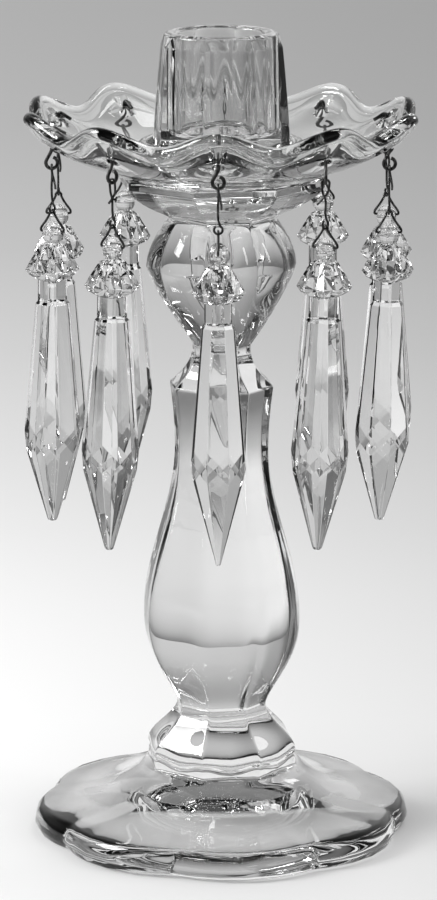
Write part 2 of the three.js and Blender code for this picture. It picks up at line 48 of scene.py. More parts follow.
FOOT_RADIUS = 54.25
FOOT_LOBE_RADIUS = 31.25
FOOT_EDGE_HEIGHT = 7.6
FOOT_EDGE_ROUND = 3.4
FOOT_TOE = 1
FOOT_TOE_HEIGHT = 2
FOOT_LAND_WIDTH = 5
FOOT_HOLLOW_DEPTH = 8
LOBE_CREASE_ROUND = 0.02
DOME_EVEN_SHARE = 0.4
DOME_GAP = 0.6
DOME_DROP = 0.5
COLLAR_RADIUS = 22
COLLAR_Z = 19.2
COLLAR_LIP = 2.3
COLLAR_STEP = 0.6
COLLAR_CORNER_ROUND = 1.2
BULGE_RADIUS = 22
BULGE_RISE = 1.7
WAIST_RADIUS = 13.2
WAIST_Z = 36.6
BELLY_RADIUS = 23.1
BELLY_RISE = 25.5
BELLY_CURVE = 0.7
STEM_RADIUS = 13.8
STEM_RISE = 76
SHOULDER_RADIUS = 15.2
SHOULDER_Z = 130
NECK_RADIUS = 8.5
NECK_Z = 140.5
NECK_LENGTH = 1
KNOB_RADIUS = 21.3
KNOB_BELLY_RISE = 23.5
KNOB_TOP_RADIUS = 16.2
KNOB_CREASE = 0.075
KNOB_CREASE_ROUND = 0.012
THROAT_Z = 177.5
THROAT_RADIUS = 15.4
THROAT_HEIGHT = 1.9
FLANGE_FOOT_RADIUS = 17.4
FLANGE_RADIUS = 29.8
FLANGE_Z = 190
FLANGE_EDGE = 2.6
FLANGE_CHAMFER = 0.7
FLANGE_SWELL = 1.9
CUP_BASE_RADIUS = 20.1
CUP_SHOULDER_RADIUS = 17.6
CUP_MOUTH_RADIUS = 16
CUP_LIP = 1.9
CUP_CURVE = 1.5
MOUTH_Z = 230
SOCKET_MOUTH_RADIUS = 12
SOCKET_FLOOR_RADIUS = 11.6
SOCKET_DEPTH = 29
SOCKET_FLOOR_ROUND = 2.2
CENTRE_RADIUS = 0.5
EDGE_FILLET = 0.6

SEAT_Z = 190.3
BORE_RADIUS = 20.9
SEAT_WIDTH = 9
HUB_WIDTH = 2.4
HUB_HEIGHT = 9.3
FLOOR_THICKNESS = 5.4
RIM_RADIUS = 54.75
RIM_HEIGHT = 16.85
RIM_BEAD_RADIUS = 2.2
RIM_EDGE_RADIUS = 2.0
RIM_OVERHANG = 1.9
RIM_BEAD_DEGREES = range(-50, 200, 20)
CRIMP_HEIGHT = 2.35
CRIMP_DEPTH = 1.9
CRIMP_START_RADIUS = 34
CRIMP_BELOW = 0.4
WALL_THICKNESS = 4.3
WALL_MEETS_BEAD = 0.25
WALL_CURVE = 1.35
WALL_RINGS = 14
UNDERSIDE_START = 2
UNDERSIDE_STEP = 0.8
UNDERSIDE_LEAN = 1
BORE_STEP = 0.3
BOBECHE_FILLET = 1.0
BOBECHE_TURN = -1
SIDES_PER_CRIMP = 24

PENDANTS = 10
HOLE_CIRCLE_RADIUS = 49
HOLE_TOP_RADIUS = 2.3
HOLE_FOOT_RADIUS = 1.5
HOLE_SIDES = 28
WIRE_GAP = 0.3
WIRE_STEPS = 5
WIRE_ROUNDNESS = 4
# An arc of wire is its first and last degrees, and its number of steps
HOOK_WIRE = 1
HOOK_LEG = 4
HOOK_LIFT = 0.15
HOOK_BEND_IN = 0.3
HOOK_BEND_DOWN = 0.25
HOOK_DROP = 6.4
HOOK_LOOP_RADIUS = 1.6
HOOK_SHANK_END = 3.2
HOOK_LOOP_ARC = (160, 435, 12)
PIN_WIRE = 0.5
PIN_LOOK = 0.65
PIN_LENGTH = 11.2
PIN_CROSSING = 0.4
PIN_TAIL = 2.3
PIN_TAIL_DROP = 1.5
PIN_TAIL_MIDDLE_DROP = 0.3
PIN_WAIST_RISE = 1.8
PIN_WAIST_OUT = (-0.5, 0.7)
PIN_WAIST_ACROSS = (-0.6, 0.1)
PIN_LOOP_ARC = (190, -10, 8)
PIN_SHANK_END = 2.6
EYE_RADIUS = 1.15
EYE_ARC = (62, -235, 14)
BAIL_WIRE = 0.55
BAIL_LOOK = 0.68
BAIL_HEIGHT = 5.25
BAIL_HALF_WIDTH = 3.5
BAIL_PIN = 1.7
BAIL_ARC = (195, -15, 8)
# A bail's leg: shares of its half width and of its drop, and its bend in thicknesses of the wire
BAIL_LEG = [(0.5, 0.4), (0.97, 0.86)]
BAIL_BEND_IN = 0.3
BAIL_BEND_UP = 0.2
# Degrees that the wires of each pendant are turned by
HOOK_HEADINGS = [0, 90, 0, 20, 0, -15, 5, 10, 0, 45]
EYE_HEADINGS = [0, 50, 80, 65, 110, 75, 95, 100, 55, 55]
BAIL_HEADINGS = [90, -15, 0, -10, 25, -20, 15, 0, -20, -25]

LUG_HOLE_DROP = 2.9
LUG_HOLE_RADIUS = 0.85
LUG_HEIGHT = 6.6
LUG_HALF_WIDTH = 3.3
FLUTE_HEIGHT = 6.9
FLUTE_RADIUS = 7.6
FLUTE_UNDERCUT = 3.2
PRISM_NECK_RADIUS = 4.1
PRISM_NECK_LENGTH = 5.6
PRISM_NECK_INSET = 0.4
PRISM_COLLAR_RADIUS = 4.8
PRISM_COLLAR_STEP = 0.8
SPEAR_UPPER_LENGTH = 39.1
SPEAR_LOWER_LENGTH = 24.8
SPEAR_RADIUS = 7.9
GIRDLE_HALF_HEIGHT = 3
TIP_RADIUS = 1.5
TIP_ROUND = 0.9
TIP_TAPER = 0.26
TIP_OUTLINE = [(0.45, 0), (0.85, 1 / 3), (1, 1)]
# How each prism differs from the others: longer tips in millimetres, and leans and turns in degrees
TIP_EXTRA_LENGTHS = [2.5, 0.3, -2.2, 0, 0, 0, 0, 0, -1.6, 0.6]
PRISM_LEANS = [0, -1.2, -1.4, 0, 0, 0, 0, 0, -0.5, -1.0]
PRISM_TWISTS = [0, -8, -6, 0, 0, 0, 0, 0, 8, 8]
FLUTE_HOLLOW = 0.83
FLUTE_SCALLOP = 0.8
# The bell's outline: shares of its radius, at heights above its widest place
BELL_OUTLINE = [(0.87, -1.5), (1.0, 0), (0.85, 2.2)]
BELL_TOP_DROP = 0.2
BELL_TOP_CORNER = 1.1
BELL_TOP_MIDDLE = 0.94
LUG_SIDE = 2.8
LUG_TAPER = 0.12
LUG_PROFILE = [-0.8, -0.6, -0.35, -0.1, 0.15, 0.4, 0.6, 0.78, 0.9, 0.97, 0.995]
LUG_HOLE_SIDES = 16
LUG_HOLE_REACH = 5
PRISM_BEVEL = 0.1
PRISM_BEVEL_FROM = 12

# How far the corners of the pressed glass are rounded, and the degrees of the points on each facet
CORNER_ROUND = 0.7
WAIST_CORNER_ROUND = 2.0
BELLY_CORNER_ROUND = 11.0
STEM_CORNER_ROUND = 1.2
BELLY_FULLNESS = 0.5
SCALLOP_DEPTH = 0.7
MOST_CORNER_SHARE = 0.9
CUP_FULLNESS = 0.32
FACET_STEPS = [0, 0.7, 1.6, 2.8, 4.6, 8, 14, 22.5, 31, 37, 40.4, 42.2, 43.4, 44.3]
FILLET_STEPS = 3
FILLET_FROM = math.radians(11)
FILLET_MOST_SPAN = 0.45
SAME_PLACE = 1e-6
FLAT_FACE_WEIGHT = 60


def mix(a, b, t):
    return a + (b - a) * t


def swell(t):
    return (1 - math.cos(math.pi * t)) / 2


def round_over(t):
    return 1 - math.cos(math.pi * t / 2)


def round_up(t):
    return math.sin(math.pi * t / 2)


def hollow(t):
    return 1 - (1 - t) ** 2


def fullness(t):
    return (t + round_up(t)) / 2


def full_swell(t):
    return swell(t ** BELLY_CURVE)


def dome_rise(t):
    return mix(t ** 4, t, DOME_EVEN_SHARE)


def cup_taper(t):
    return t ** CUP_CURVE


def flange_bow(t):
    return t + 4 * t * (1 - t) * FLANGE_SWELL / (FLANGE_RADIUS - FLANGE_FOOT_RADIUS)


def straight(t):
    return t


# Cross-sections, as a share of the radius to the corners, at an angle from the nearest corner
def flat(offset, corner):
    half = FACET_ANGLE / 2
    centre = 1 - corner / math.cos(half)
    touch = math.atan2(corner * math.sin(half), centre + corner * math.cos(half))
    if offset < touch:
        return centre * math.cos(offset) + math.sqrt(corner ** 2 - (centre * math.sin(offset)) ** 2)
    return math.cos(half) / math.cos(half - offset)


def round_section(offset, corner):
    return 1


def cup_section(offset, corner):
    return mix(flat(offset, corner), 1, CUP_FULLNESS)


def panelled(offset, corner):
    soft = math.hypot(offset, KNOB_CREASE_ROUND) - KNOB_CREASE_ROUND
    if soft >= FACET_ANGLE / 2:
        return 1
    return 1 - KNOB_CREASE * (1 - math.sin(FACETS / 2 * soft))


def lobed(offset, corner):
    away = FACET_ANGLE / 2 - min(math.hypot(offset, LOBE_CREASE_ROUND), FACET_ANGLE / 2)
    centre = FOOT_RADIUS - FOOT_LOBE_RADIUS
    across = centre * math.sin(away)
    return (centre * math.cos(away) + math.sqrt(FOOT_LOBE_RADIUS ** 2 - across ** 2)) / FOOT_RADIUS


def station(r, z, section=flat, corner=CORNER_ROUND, scallop=0.0):
    """A place on an outline, with the cross-section of the glass there."""
    return {"r": r, "z": z, "sections": {section: 1.0}, "corner": corner, "scallop": scallop}


def blend(a, b, t, ease_r=straight, ease_z=straight):
    """A station between two others."""
    sections = {}
    for source, share in ((a, 1 - t), (b, t)):
        for section, weight in source["sections"].items():
            sections[section] = sections.get(section, 0) + weight * share
    return {
        "r": mix(a["r"], b["r"], ease_r(t)),
        "z": mix(a["z"], b["z"], ease_z(t)),
        "sections": sections,
        "corner": mix(a["corner"], b["corner"], t),
        "scallop": mix(a["scallop"], b["scallop"], t),
    }


def run(path, target, count, ease_r=straight, ease_z=straight):
    """Adds this count of stations from the path's last one to the target."""
    start = path[-1]
    for i in range(1, count + 1):
        path.append(blend(start, target, i / count, ease_r, ease_z))


def rounded(path, fillet, least_turn=FILLET_FROM):
    """The path with a small arc in place of each corner that turns by the least turn or more."""
    result = [path[0]]
    for before, here, after in zip(path, path[1:], path[2:]):
        inward = Vector((here["r"] - before["r"], here["z"] - before["z"]))
        outward = Vector((after["r"] - here["r"], after["z"] - here["z"]))
        if min(inward.length, outward.length) < SAME_PLACE or inward.angle(outward) < least_turn:
            result.append(here)
            continue
        back = min(fillet, FILLET_MOST_SPAN * inward.length) / inward.length
        forth = min(fillet, FILLET_MOST_SPAN * outward.length) / outward.length
        start, end = blend(here, before, back), blend(here, after, forth)
        for i in range(FILLET_STEPS + 1):
            t = i / FILLET_STEPS
            result.append(blend(blend(start, here, t), blend(here, end, t), t))
    result.append(path[-1])
    return result


def facet_angles():
    """(angle, angle from the nearest corner) of every point on a ring of the stem."""
    angles = []
    for k in range(FACETS):
        for step in FACET_STEPS:
            offset = min(step, 360 / FACETS - step)
            angles.append((k * FACET_ANGLE + math.radians(step), math.radians(offset)))
    return angles


def turns(count):
    return [2 * math.pi * i / count for i in range(count)]


def skin(name, rings, closed=False):
    """A mesh object through rings of points, with a fan over each end unless it closes on itself."""
    mesh = bpy.data.meshes.new(name)
    count = len(rings[0])
    points = [p for ring in rings for p in ring]
    faces = []
    pairs = list(zip(range(len(rings)), range(1, len(rings))))
    if closed:
        pairs.append((len(rings) - 1, 0))
    for a, b in pairs:
        for i in range(count):
            j = (i + 1) % count
            faces.append((a * count + i, a * count + j, b * count + j, b * count + i))
    if not closed:
        for ring_index, turned in ((0, True), (len(rings) - 1, False)):
            ring = rings[ring_index]
            points.append(sum(ring, Vector()) / count)
            for i in range(count):
                a, b = ring_index * count + i, ring_index * count + (i + 1) % count
                faces.append((b, a, len(points) - 1) if turned else (a, b, len(points) - 1))
    mesh.from_pydata([p * MM for p in points], [], faces)
    mesh.update()
    obj = bpy.data.objects.new(name, mesh)
    bpy.context.scene.collection.objects.link(obj)
    return obj


def face_outward(obj):
    work = bmesh.new()
    work.from_mesh(obj.data)
    bmesh.ops.remove_doubles(work, verts=work.verts, dist=SAME_PLACE)
    bmesh.ops.recalc_face_normals(work, faces=work.faces)
    work.to_mesh(obj.data)
    work.free()


def cut(obj, cutter):
    """Cuts the cutter out of the object, once its modifiers are applied."""
    modifier = obj.modifiers.new("hole", "BOOLEAN")
    modifier.operation = "DIFFERENCE"
    modifier.solver = "EXACT"
    modifier.object = cutter


def apply_modifiers(obj):
    graph = bpy.context.evaluated_depsgraph_get()
    made = bpy.data.meshes.new_from_object(obj.evaluated_get(graph))
    obj.modifiers.clear()
    obj.data = made


def smooth(obj, weighted=True):
    for polygon in obj.data.polygons:
        polygon.use_smooth = True
    if weighted:
        modifier = obj.modifiers.new("weighted_normals", "WEIGHTED_NORMAL")
        modifier.mode = "FACE_AREA"
        modifier.weight = FLAT_FACE_WEIGHT


# Candlestick
def candlestick_path():
    land_outer = FOOT_RADIUS - FOOT_TOE
    land_inner = land_outer - FOOT_LAND_WIDTH
    path = [station(CENTRE_RADIUS, FOOT_HOLLOW_DEPTH, round_section)]
    run(path, station(land_inner, 0, lobed), 20, straight, swell)
    run(path, station(land_outer, 0, lobed), 6)
    run(path, station(FOOT_RADIUS, FOOT_TOE_HEIGHT, lobed), 2)
    edge_top = station(FOOT_RADIUS - FOOT_EDGE_ROUND, FOOT_EDGE_HEIGHT, lobed)
    run(path, edge_top, 7, round_over, round_up)
    dome_top = station(COLLAR_RADIUS + DOME_GAP, COLLAR_Z - DOME_DROP, round_section)
    run(path, dome_top, 26, straight, dome_rise)
    run(path, station(COLLAR_RADIUS, COLLAR_Z), 3)
    lip_top = COLLAR_Z + COLLAR_LIP
    scalloped = {"corner": COLLAR_CORNER_ROUND, "scallop": SCALLOP_DEPTH}
    run(path, station(COLLAR_RADIUS - COLLAR_STEP / 3, lip_top - COLLAR_STEP, **scalloped), 2)
    run(path, station(COLLAR_RADIUS - COLLAR_STEP, lip_top, **scalloped), 1)
    bulge = station(BULGE_RADIUS, lip_top + BULGE_RISE, flat, CORNER_ROUND, SCALLOP_DEPTH / 2)
    run(path, bulge, 3, round_up)
    run(path, station(WAIST_RADIUS, WAIST_Z, flat, WAIST_CORNER_ROUND), 16, swell)
    belly_radius = BELLY_RADIUS + BELLY_FULLNESS
    run(path, station(belly_radius, WAIST_Z + BELLY_RISE, flat, BELLY_CORNER_ROUND), 22, full_swell)
    run(path, station(STEM_RADIUS, WAIST_Z + STEM_RISE, flat, STEM_CORNER_ROUND), 30, swell)
    run(path, station(SHOULDER_RADIUS, SHOULDER_Z), 10, round_over)
    run(path, station(NECK_RADIUS, NECK_Z), 12, hollow)
    run(path, station(NECK_RADIUS, NECK_Z + NECK_LENGTH), 2)
    run(path, station(KNOB_RADIUS, NECK_Z + KNOB_BELLY_RISE, panelled), 22, fullness)
    run(path, station(KNOB_TOP_RADIUS, THROAT_Z - THROAT_HEIGHT / 2, panelled), 14, round_over)
    run(path, station(THROAT_RADIUS, THROAT_Z), 2)
    run(path, station(FLANGE_FOOT_RADIUS, THROAT_Z + THROAT_HEIGHT), 2)
    run(path, station(FLANGE_RADIUS, FLANGE_Z - FLANGE_EDGE), 10, flange_bow)
    run(path, station(FLANGE_RADIUS, FLANGE_Z - FLANGE_CHAMFER), 2)
    run(path, station(FLANGE_RADIUS - FLANGE_CHAMFER, FLANGE_Z), 1)
    run(path, station(CUP_BASE_RADIUS, FLANGE_Z, cup_section), 5)
    run(path, station(CUP_SHOULDER_RADIUS, MOUTH_Z - 2 * CUP_LIP, cup_section), 14, cup_taper)
    run(path, station(CUP_MOUTH_RADIUS, MOUTH_Z - CUP_LIP / 3, round_section), 4)
    lip_middle = (CUP_MOUTH_RADIUS + SOCKET_MOUTH_RADIUS) / 2
    run(path, station(lip_middle, MOUTH_Z, round_section), 4, straight, round_up)
    run(path, station(SOCKET_MOUTH_RADIUS, MOUTH_Z - CUP_LIP / 3, round_section), 4, straight, round_over)
    floor_z = MOUTH_Z - SOCKET_DEPTH
    wall_foot = station(SOCKET_FLOOR_RADIUS, floor_z + SOCKET_FLOOR_ROUND, round_section)
    run(path, wall_foot, 14)
    floor_edge = station(SOCKET_FLOOR_RADIUS - SOCKET_FLOOR_ROUND, floor_z, round_section)
    run(path, floor_edge, 6, round_over, round_up)
    run(path, station(CENTRE_RADIUS, floor_z, round_section), 4)
    return rounded(path, EDGE_FILLET)


def stem_ring(place):
    turn = FACET_ANGLE / 2 - math.pi / 2 + math.radians(STEM_TURN)
    corner = min(place["corner"] / max(place["r"], 1), MOST_CORNER_SHARE)
    points = []
    for angle, offset in facet_angles():
        share = sum(weight * section(offset, corner) for section, weight in place["sections"].items())
        r = place["r"] * share
        z = place["z"] + place["scallop"] * math.cos(FACETS * angle)
        points.append(Vector((r * math.cos(angle + turn), r * math.sin(angle + turn), z)))
    return points


def make_candlestick():
    obj = skin("candlestick_glass", [stem_ring(place) for place in candlestick_path()])
    face_outward(obj)
    smooth(obj)
    return obj


# Bobeche
SEAT_EDGE_RADIUS = BORE_RADIUS + SEAT_WIDTH
HUB_OUTER_RADIUS = BORE_RADIUS + HUB_WIDTH
FLOOR_RADIUS = HUB_OUTER_RADIUS + HUB_WIDTH


def crimp_share(r):
    t = (r - CRIMP_START_RADIUS) / (RIM_RADIUS - CRIMP_START_RADIUS)
    return swell(min(max(t, 0), 1))


def inner_wall_z(r, crimp):
    rise = max(0, (r - FLOOR_RADIUS) / (RIM_RADIUS - 2 * RIM_BEAD_RADIUS - FLOOR_RADIUS))
    wall_top = RIM_HEIGHT - 2 * RIM_BEAD_RADIUS + WALL_MEETS_BEAD
    wave = CRIMP_HEIGHT * crimp * crimp_share(r)
    return SEAT_Z + mix(FLOOR_THICKNESS, wall_top, rise ** WALL_CURVE) + wave


HOLE_TOP_Z = inner_wall_z(HOLE_CIRCLE_RADIUS, 1)
HOLE_FOOT_Z = HOLE_TOP_Z - WALL_THICKNESS
HOOK_LOOP_Z = HOLE_FOOT_Z - HOOK_DROP
EYE_Z = HOOK_LOOP_Z - PIN_LENGTH
EYE_FOOT_Z = EYE_Z - EYE_RADIUS
LUG_HOLE_Z = EYE_FOOT_Z - BAIL_HEIGHT


def bobeche_outline(crimp):
    bead_r = RIM_RADIUS - RIM_EDGE_RADIUS + CRIMP_DEPTH * crimp
    bead_z = SEAT_Z + RIM_HEIGHT - RIM_EDGE_RADIUS + CRIMP_HEIGHT * crimp
    wall_end = bead_r - RIM_OVERHANG * RIM_EDGE_RADIUS
    path = [station(BORE_RADIUS, SEAT_Z)]
    run(path, station(SEAT_EDGE_RADIUS, SEAT_Z), 5)
    for i in range(1, WALL_RINGS + 1):
        t = i / WALL_RINGS
        above = mix(FLOOR_RADIUS + UNDERSIDE_START, wall_end, t)
        underside_z = inner_wall_z(above, mix(1, crimp, CRIMP_BELOW)) - WALL_THICKNESS
        r = mix(SEAT_EDGE_RADIUS + UNDERSIDE_STEP, wall_end + UNDERSIDE_LEAN, t)
        path.append(station(r, underside_z))
    for degrees in RIM_BEAD_DEGREES:
        angle = math.radians(degrees)
        out, up = RIM_EDGE_RADIUS * math.cos(angle), RIM_EDGE_RADIUS * math.sin(angle)
        path.append(station(bead_r + out, bead_z + up))
    for i in range(WALL_RINGS):
        r = mix(wall_end, FLOOR_RADIUS, i / (WALL_RINGS - 1))
        path.append(station(r, inner_wall_z(r, crimp)))
    path.append(station(HUB_OUTER_RADIUS, SEAT_Z + HUB_HEIGHT - HUB_WIDTH / 3))
    path.append(station(HUB_OUTER_RADIUS - HUB_WIDTH / 3, SEAT_Z + HUB_HEIGHT))
    path.append(station(BORE_RADIUS + HUB_WIDTH / 4, SEAT_Z + HUB_HEIGHT))
    path.append(station(BORE_RADIUS, SEAT_Z + HUB_HEIGHT - HUB_WIDTH / 4))
    run(path, station(BORE_RADIUS, SEAT_Z + BORE_STEP), 4)
    return rounded(path, BOBECHE_FILLET, least_turn=0)


def around(r, degrees, z):
    """A point on the bobeche, at degrees from the front, anticlockwise from above."""
    angle = math.radians(degrees + BOBECHE_TURN)
    return Vector((r * math.sin(angle), -r * math.cos(angle), z))


# The rim holes: shares of the wall's thickness from its underside, and the radius there
HOLE_OUTLINE = [
    (-0.5, HOLE_FOOT_RADIUS + 0.5),
    (0, HOLE_FOOT_RADIUS + 0.05),
    (0.3, HOLE_FOOT_RADIUS),
    (0.7, mix(HOLE_FOOT_RADIUS, HOLE_TOP_RADIUS, 0.45)),
    (1, HOLE_TOP_RADIUS),
    (1.4, HOLE_TOP_RADIUS + 0.9),
]


def hole_cutter(index):
    funnel = []
    for share, radius in HOLE_OUTLINE:
        centre = around(HOLE_CIRCLE_RADIUS, 360 * index / PENDANTS, mix(HOLE_FOOT_Z, HOLE_TOP_Z, share))
        funnel.append([centre + radius * Vector((math.cos(a), math.sin(a), 0)) for a in turns(HOLE_SIDES)])
    cutter = skin(f"cutter_{index}", funnel)
    face_outward(cutter)
    return cutter


def make_bobeche():
    sides = SIDES_PER_CRIMP * PENDANTS
    columns = []
    for i in range(sides):
        degrees = 360 * i / sides
        outline = bobeche_outline(math.cos(math.radians(PENDANTS * degrees)))
        columns.append([around(place["r"], degrees, place["z"]) for place in outline])
    rings = [[column[k] for column in columns] for k in range(len(columns[0]))]
    obj = skin("bobeche_glass", rings, closed=True)
    face_outward(obj)
    cutters = [hole_cutter(i) for i in range(PENDANTS)]
    for cutter in cutters:
        cut(obj, cutter)
    apply_modifiers(obj)
    for cutter in cutters:
        bpy.data.objects.remove(cutter)
    smooth(obj)
    return obj


# Pendants: wire as tubes along smooth curves
def direction(degrees):
    angle = math.radians(degrees)
    return Vector((math.cos(angle), math.sin(angle), 0))


def place_at(along, heading, across, z):
    """A point at distances along a heading and square to it."""
    square = Vector((-heading.y, heading.x, 0))
    point = heading * along + square * across
    point.z = z
    return point


def arc(heading, radius, centre_z, start, end, count):
    """Points on an upright arc, in degrees from its heading."""
    points = []
    for i in range(count + 1):
        angle = math.radians(mix(start, end, i / count))
        points.append(place_at(radius * math.cos(angle), heading, 0, centre_z + radius * math.sin(angle)))
    return points


def hook_points(index):
    inward = direction(90 + 360 * index / PENDANTS)
    loop = direction(HOOK_HEADINGS[index])
    lift = HOOK_WIRE / 2 + WIRE_GAP + HOOK_LIFT
    hole_edge = HOLE_TOP_RADIUS + HOOK_WIRE / 4

    def over_wall(reach):
        return inner_wall_z(HOLE_CIRCLE_RADIUS - reach, 1) + lift

    slope = (over_wall(hole_edge) - over_wall(HOOK_LEG)) / (HOOK_LEG - hole_edge)
    bend_z = over_wall(hole_edge) + slope * (hole_edge - HOOK_WIRE)
    return [
        place_at(HOOK_LEG, inward, 0, over_wall(HOOK_LEG)),
        place_at(hole_edge, inward, 0, over_wall(hole_edge)),
        place_at(HOOK_WIRE, inward, 0, bend_z),
        place_at(HOOK_WIRE * HOOK_BEND_IN, inward, 0, bend_z - HOOK_WIRE * HOOK_BEND_DOWN),
        place_at(0, inward, 0, bend_z - HOOK_WIRE),
        place_at(0, inward, 0, HOLE_FOOT_Z),
        place_at(0, inward, 0, HOOK_LOOP_Z + HOOK_SHANK_END * HOOK_LOOP_RADIUS),
        *arc(loop, HOOK_LOOP_RADIUS, HOOK_LOOP_Z + HOOK_LOOP_RADIUS, *HOOK_LOOP_ARC),
    ]


def pin_points(index):
    loop = direction(HOOK_HEADINGS[index] + 90)
    eye = direction(EYE_HEADINGS[index])
    side = PIN_WIRE + WIRE_GAP
    crossing = HOOK_LOOP_Z - PIN_CROSSING * PIN_LENGTH
    waist = crossing + PIN_WAIST_RISE
    around_hook = HOOK_WIRE / 2 + WIRE_GAP + PIN_WIRE / 2
    return [
        place_at(PIN_TAIL, loop, -side, crossing - PIN_TAIL_DROP),
        place_at(PIN_TAIL / 2, loop, -side, crossing - PIN_TAIL_MIDDLE_DROP),
        place_at(PIN_WAIST_OUT[0] * around_hook, loop, PIN_WAIST_ACROSS[0] * side, waist),
        *arc(loop, around_hook, HOOK_LOOP_Z, *PIN_LOOP_ARC),
        place_at(PIN_WAIST_OUT[1] * around_hook, loop, 0, waist),
        place_at(0, loop, PIN_WAIST_ACROSS[1] * side, crossing),
        place_at(0, loop, 0, EYE_Z + PIN_SHANK_END * EYE_RADIUS),
        *arc(eye, EYE_RADIUS, EYE_Z, *EYE_ARC),
    ]


def bail_points(index):
    over = direction(EYE_HEADINGS[index] + 90)
    pins = direction(BAIL_HEADINGS[index])
    flip = 1 if over.dot(pins) >= 0 else -1
    on_eye = PIN_WIRE / 2 + WIRE_GAP + BAIL_WIRE / 2

    def leg(side):
        def at(out, z):
            return place_at(side * out, pins, 0, z)

        return [
            *[at(BAIL_HALF_WIDTH * out, mix(EYE_FOOT_Z, LUG_HOLE_Z, down)) for out, down in BAIL_LEG],
            at(BAIL_HALF_WIDTH - BAIL_WIRE * BAIL_BEND_IN, LUG_HOLE_Z + BAIL_WIRE * BAIL_BEND_UP),
            at(BAIL_HALF_WIDTH - BAIL_WIRE, LUG_HOLE_Z),
            at(BAIL_HALF_WIDTH - BAIL_PIN, LUG_HOLE_Z),
        ]

    return [*reversed(leg(-flip)), *arc(over, on_eye, EYE_FOOT_Z, *BAIL_ARC), *leg(flip)]


def smooth_line(points, per_span):
    """Points along a centripetal Catmull-Rom curve, as the part's own wires follow."""
    ends = [2 * points[0] - points[1], *points, 2 * points[-1] - points[-2]]
    line = [points[0]]
    for p0, p1, p2, p3 in zip(ends, ends[1:], ends[2:], ends[3:]):
        t1 = math.sqrt((p1 - p0).length)
        t2 = t1 + math.sqrt((p2 - p1).length)
        t3 = t2 + math.sqrt((p3 - p2).length)
        for i in range(1, per_span + 1):
            t = mix(t1, t2, i / per_span)
            a1 = p0 * ((t1 - t) / t1) + p1 * (t / t1)
            a2 = p1 * ((t2 - t) / (t2 - t1)) + p2 * ((t - t1) / (t2 - t1))
            a3 = p2 * ((t3 - t) / (t3 - t2)) + p3 * ((t - t2) / (t3 - t2))
            b1 = a1 * ((t2 - t) / t2) + a2 * (t / t2)
            b2 = a2 * ((t3 - t) / (t3 - t1)) + a3 * ((t - t1) / (t3 - t1))
            line.append(b1 * ((t2 - t) / (t2 - t1)) + b2 * ((t - t1) / (t2 - t1)))
    return line


def wire(name, points, diameter, index):
    """A round wire below the rim hole of this index, through points given from that hole's middle."""
    hole = around(HOLE_CIRCLE_RADIUS, 360 * index / PENDANTS, 0)
    turn = math.radians(BOBECHE_TURN)
    line = smooth_line(points, WIRE_STEPS)
    curve = bpy.data.curves.new(name, "CURVE")
    curve.dimensions = "3D"
    curve.bevel_depth = diameter / 2 * MM
    curve.bevel_resolution = WIRE_ROUNDNESS
    curve.use_fill_caps = True
    spline = curve.splines.new("POLY")
    spline.points.add(len(line) - 1)
    for target, point in zip(spline.points, line):
        x = point.x * math.cos(turn) - point.y * math.sin(turn)
        y = point.x * math.sin(turn) + point.y * math.cos(turn)
        target.co = (*((Vector((x, y, point.z)) + hole) * MM), 1)
    tube = bpy.data.objects.new(name, curve)
    bpy.context.scene.collection.objects.link(tube)
    graph = bpy.context.evaluated_depsgraph_get()
    mesh = bpy.data.meshes.new_from_object(tube.evaluated_get(graph))
    bpy.data.objects.remove(tube)
    obj = bpy.data.objects.new(name, mesh)
    bpy.context.scene.collection.objects.link(obj)
    smooth(obj, False)
    return obj


# Prism: rings in its own frame, +X along the hole in the lug, 0 at the top of the lug
def star_ring(corner_radius, corner_z, middle_radius, middle_z):
    """A ring of twice the facets, alternately on a corner and in the middle of a facet."""
    points = []
    for i, angle in enumerate(turns(2 * FACETS)):
        radius, z = (corner_radius, corner_z) if i % 2 == 0 else (middle_radius, middle_z)
        points.append(Vector((radius * math.cos(angle), radius * math.sin(angle), z)))
    return points


